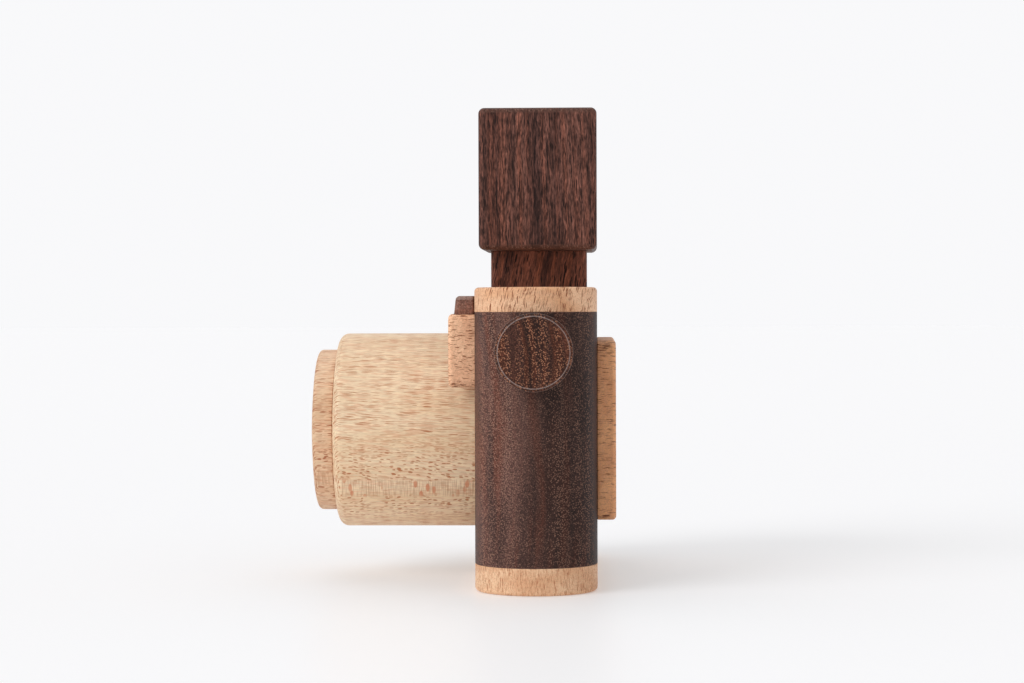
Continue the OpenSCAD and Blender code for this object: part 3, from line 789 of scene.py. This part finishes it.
def make_lens():
    """Barrel, ring and domed disc, with heights counted forwards from the body's front face."""
    place = facing(Vector((0, FRONT_Y, LENS_Z)), -Y)
    low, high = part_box("lens_barrel")
    outer, edge, small = (high.z - low.z) / 2, 3 * MM, 0.4 * MM
    rear, front = FRONT_Y - high.y, FRONT_Y - low.y
    ring_low, ring_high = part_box("focus_ring")
    tail_back = FRONT_Y - ring_high.y
    pivot = extent("lens_pivot").x / 2 + RUN_GAP
    web_back = FRONT_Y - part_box("lens_pivot")[0].y + FACE_GAP
    tail, tail_bore, web = 22 * MM, 15 * MM, 8 * MM
    web_front = web_back + web
    hole = 2.5 * MM + RUN_GAP        # for the screw
    bore = tail + RUN_GAP
    profile = [(hole, web_back, 0), (pivot, web_back, 0), (pivot, rear, 0), (outer - small, rear, 1),
               (outer, rear + small, 1)]
    profile += round_corner(outer - edge, front - edge, edge)
    profile += [(bore + small, front, 1), (bore, front - small, 1), (bore, web_front, 0),
                (hole, web_front, 0)]
    barrel = turned("lens_barrel_wood", profile, place, hollow=True)
    pin = centre("ring_pin")
    pin_r, inwards = extent("ring_pin").x / 2, 15 * MM
    cut(barrel, rod(Vector((0, pin.y, LENS_Z - outer + inwards)), -Z, inwards + 5 * MM, pin_r + SEAT_GAP))
    settle(barrel, beech_barrel, "barrel", "beech_lens", "lens_barrel")

    ring_r = (ring_high.z - ring_low.z) / 2
    ring_front = FRONT_Y - ring_low.y
    ring_back = front + FACE_GAP
    crown, ring_edge, back_edge, seat_edge = 0.7 * MM, 1.4 * MM, 0.3 * MM, 0.25 * MM
    disc_r = extent("lens_disc").x / 2
    disc_back = FRONT_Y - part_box("lens_disc")[1].y
    seat = disc_r + SEAT_GAP
    floor_r, groove_half = tail - 3 * MM, 2.2 * MM
    groove_back, groove_front = FRONT_Y - pin.y - groove_half, FRONT_Y - pin.y + groove_half
    profile = [(tail_bore, tail_back, 0), (tail, tail_back, 0), (tail, groove_back, 0),
               (floor_r, groove_back, 0), (floor_r, groove_front, 0), (tail, groove_front, 0),
               (tail, ring_back, 0), (ring_r - back_edge, ring_back, 1), (ring_r, ring_back + back_edge, 1)]
    profile += round_corner(ring_r - ring_edge, ring_front - crown - ring_edge, ring_edge)
    profile += [(disc_r + MM, ring_front, 0), (seat + seat_edge, ring_front, 1),
                (seat, ring_front - seat_edge, 1), (seat, disc_back, 0), (tail_bore, disc_back, 0)]
    ring = turned("focus_ring_wood", profile, place, hollow=True)
    settle(ring, beech_ring, "ring", "beech_lens", "focus_ring")

    disc_front = FRONT_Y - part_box("lens_disc")[0].y
    dome, dome_steps, dome_inset, edge_drop = 1.8 * MM, 24, 0.2 * MM, 0.3 * MM
    dome_r = (disc_r ** 2 + dome ** 2) / (2 * dome)
    profile = [(disc_r, disc_back, 0), (disc_r, disc_front - dome - edge_drop, 0)]
    for i in range(dome_steps):
        r = (disc_r - dome_inset) * (1 - i / dome_steps)
        profile.append((r, disc_front - dome_r + math.sqrt(dome_r ** 2 - r ** 2), 0))
    disc = turned("lens_disc_wood", profile, place)
    settle(disc, walnut_disc, "ring", "walnut_trim", "lens_disc")


# ---------------------------------------------------------------- flash

def make_flash():
    low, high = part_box("flash_neck")
    size, neck_corner, foot_edge = high - low, 1.5 * MM, 0.3 * MM
    neck = slab("flash_neck_wood", round_rectangle(size.x / 2, size.y / 2, neck_corner),
                rim(size.z, foot_edge, 0), Matrix.Translation((0, 0, low.z)))
    soften(cut(neck, flash_bore()), 0.2 * MM)
    settle(neck, walnut_neck, "flash", "walnut_flash", "flash_neck")

    low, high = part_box("flash_head")
    size, edge = high - low, 2 * MM
    window_low, window_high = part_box("flash_window")
    window_size, window = window_high - window_low, centre("flash_window")
    window_corner = 3 * MM
    head = slab("flash_head_wood", round_rectangle(size.x / 2, size.y / 2, edge),
                rim(size.z, edge, edge), Matrix.Translation((0, 0, low.z)))
    front = facing(Vector((window.x, window_high.y, window.z)), -Y)
    pocket = slab("cutter", round_rectangle(window_size.x / 2 + SEAT_GAP, window_size.z / 2 + SEAT_GAP,
                                            window_corner),
                  [(0, 0, 0), (0, 2 * window_size.y, 0)], front)
    soften(cut(head, pocket), 0.2 * MM)
    settle(head, walnut_head, "flash", "walnut_flash", "flash_head")

    groove_count, groove_w = 6, 0.8 * MM
    pane = slab("flash_window_wood", round_rectangle(window_size.x / 2, window_size.z / 2, window_corner),
                rim(window_size.y, 0, 0.3 * MM), front)
    grooves = []
    for i in range(1, groove_count + 1):
        height = window_low.z + i * window_size.z / (groove_count + 1)
        start = Vector((window_low.x - MM, window_low.y, height))
        grooves.append(slab("cutter", circle(groove_w / math.sqrt(2), 4),
                            [(0, 0, 0), (0, window_size.x + 2 * MM, 0)], facing(start, X)))
    cut(pane, *grooves)
    settle(pane, beech_window, "flash", "beech_plates", "flash_window")


# ---------------------------------------------------------------- pieces kept from the CAD

def finish_inner_pieces():
    """The pieces that stay CAD solids get wood or steel."""
    for node, material in (("plate_dowels", beech_dowel), ("flash_dowel", beech_dowel),
                           ("flash_head_dowels", beech_dowel), ("block_dowels", beech_cross_dowel),
                           ("lens_pivot", beech_cross_dowel), ("ring_pin", beech_dowel),
                           ("button_pin", plain_steel), ("lens_screw", plain_steel),
                           ("lens_washer", plain_steel)):
        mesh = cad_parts[node].data
        mesh.materials.clear()
        mesh.materials.append(material)


# ---------------------------------------------------------------- studio

BACKDROP = 0.945           # brightness of the white that the camera sees behind the object


def make_floor():
    """A white sheet of acrylic that runs out of sight. It glows a little, in the one tone that
    makes it meet the backdrop unseen."""
    bm = bmesh.new()
    half, height = 12.0, -0.1 * MM
    corners = [bm.verts.new((x * half, y * half, height)) for x, y in ((-1, -1), (1, -1), (1, 1), (-1, 1))]
    bm.faces.new(corners)
    mesh = bpy.data.meshes.new("floor")
    bm.to_mesh(mesh)
    bm.free()
    floor = bpy.data.objects.new("floor", mesh)
    bpy.context.scene.collection.objects.link(floor)
    s = Shader("floor_acrylic")
    surface = s.add("ShaderNodeBsdfPrincipled")
    s.feed(surface.inputs["Base Color"], (0.74, 0.74, 0.76, 1.0))
    s.feed(surface.inputs["Roughness"], 0.4)
    s.feed(surface.inputs["Specular IOR Level"], 0.14)
    s.feed(surface.inputs["Emission Color"], (1.0, 0.98, 0.93, 1.0))
    s.feed(surface.inputs["Emission Strength"], 0.238)
    output = s.add("ShaderNodeOutputMaterial")
    s.feed(output.inputs["Surface"], surface.outputs[0])
    mesh.materials.append(s.material)


def sun(name, direction, strength, spread):
    """A distant white light, spread degrees wide; direction points from the object to it."""
    data = bpy.data.lights.new(name, "SUN")
    data.energy = strength
    data.angle = math.radians(spread)
    lamp = bpy.data.objects.new(name, data)
    bpy.context.scene.collection.objects.link(lamp)
    lamp.rotation_mode = "QUATERNION"
    lamp.rotation_quaternion = Vector(direction).to_track_quat("Z", "Y")


def make_world():
    """Even white surroundings: bright behind the object, dimmer where they light it."""
    world = bpy.data.worlds.new("studio")
    world.use_nodes = True
    tree = world.node_tree
    tree.nodes.clear()
    fill = tree.nodes.new("ShaderNodeBackground")
    fill.inputs["Color"].default_value = (0.97, 0.98, 1.0, 1.0)
    fill.inputs["Strength"].default_value = 0.62
    seen = tree.nodes.new("ShaderNodeBackground")
    seen.inputs["Color"].default_value = (BACKDROP, BACKDROP, BACKDROP * 1.015, 1.0)
    path = tree.nodes.new("ShaderNodeLightPath")
    mix = tree.nodes.new("ShaderNodeMixShader")
    output = tree.nodes.new("ShaderNodeOutputWorld")
    tree.links.new(path.outputs["Is Camera Ray"], mix.inputs[0])
    tree.links.new(fill.outputs[0], mix.inputs[1])
    tree.links.new(seen.outputs[0], mix.inputs[2])
    tree.links.new(mix.outputs[0], output.inputs["Surface"])
    bpy.context.scene.world = world


def make_camera():
    """The photo's view: close, level with the body's upper half, and looking along -X."""
    data = bpy.data.cameras.new("camera")
    data.lens = 87.9
    data.sensor_width = 36
    data.clip_start = 0.05
    data.clip_end = 60
    camera = bpy.data.objects.new("camera", data)
    bpy.context.scene.collection.objects.link(camera)
    pan, tilt, roll = math.radians(1.95), math.radians(0.747), math.radians(0.17)
    level = math.cos(tilt)
    look = Vector((-math.cos(pan) * level, -math.sin(pan) * level, -math.sin(tilt)))
    camera.location = (0.871, 0.020, 0.0918)
    camera.rotation_mode = "QUATERNION"
    upright = look.to_track_quat("-Z", "Y")
    camera.rotation_quaternion = upright @ Matrix.Rotation(-roll, 3, "Z").to_quaternion()
    bpy.context.scene.camera = camera


make_plates()
make_block()
make_pegs()
make_rear()
make_viewfinder()
make_key()
make_spring()
make_lens()
make_flash()
finish_inner_pieces()

make_floor()
make_world()
sun("key_light", (0.65, -0.75, 0.55), 1.3, 38)
sun("top_light", (-0.5, -0.1, 1.0), 0.65, 60)
make_camera()
bpy.context.scene.view_settings.view_transform = "Standard"
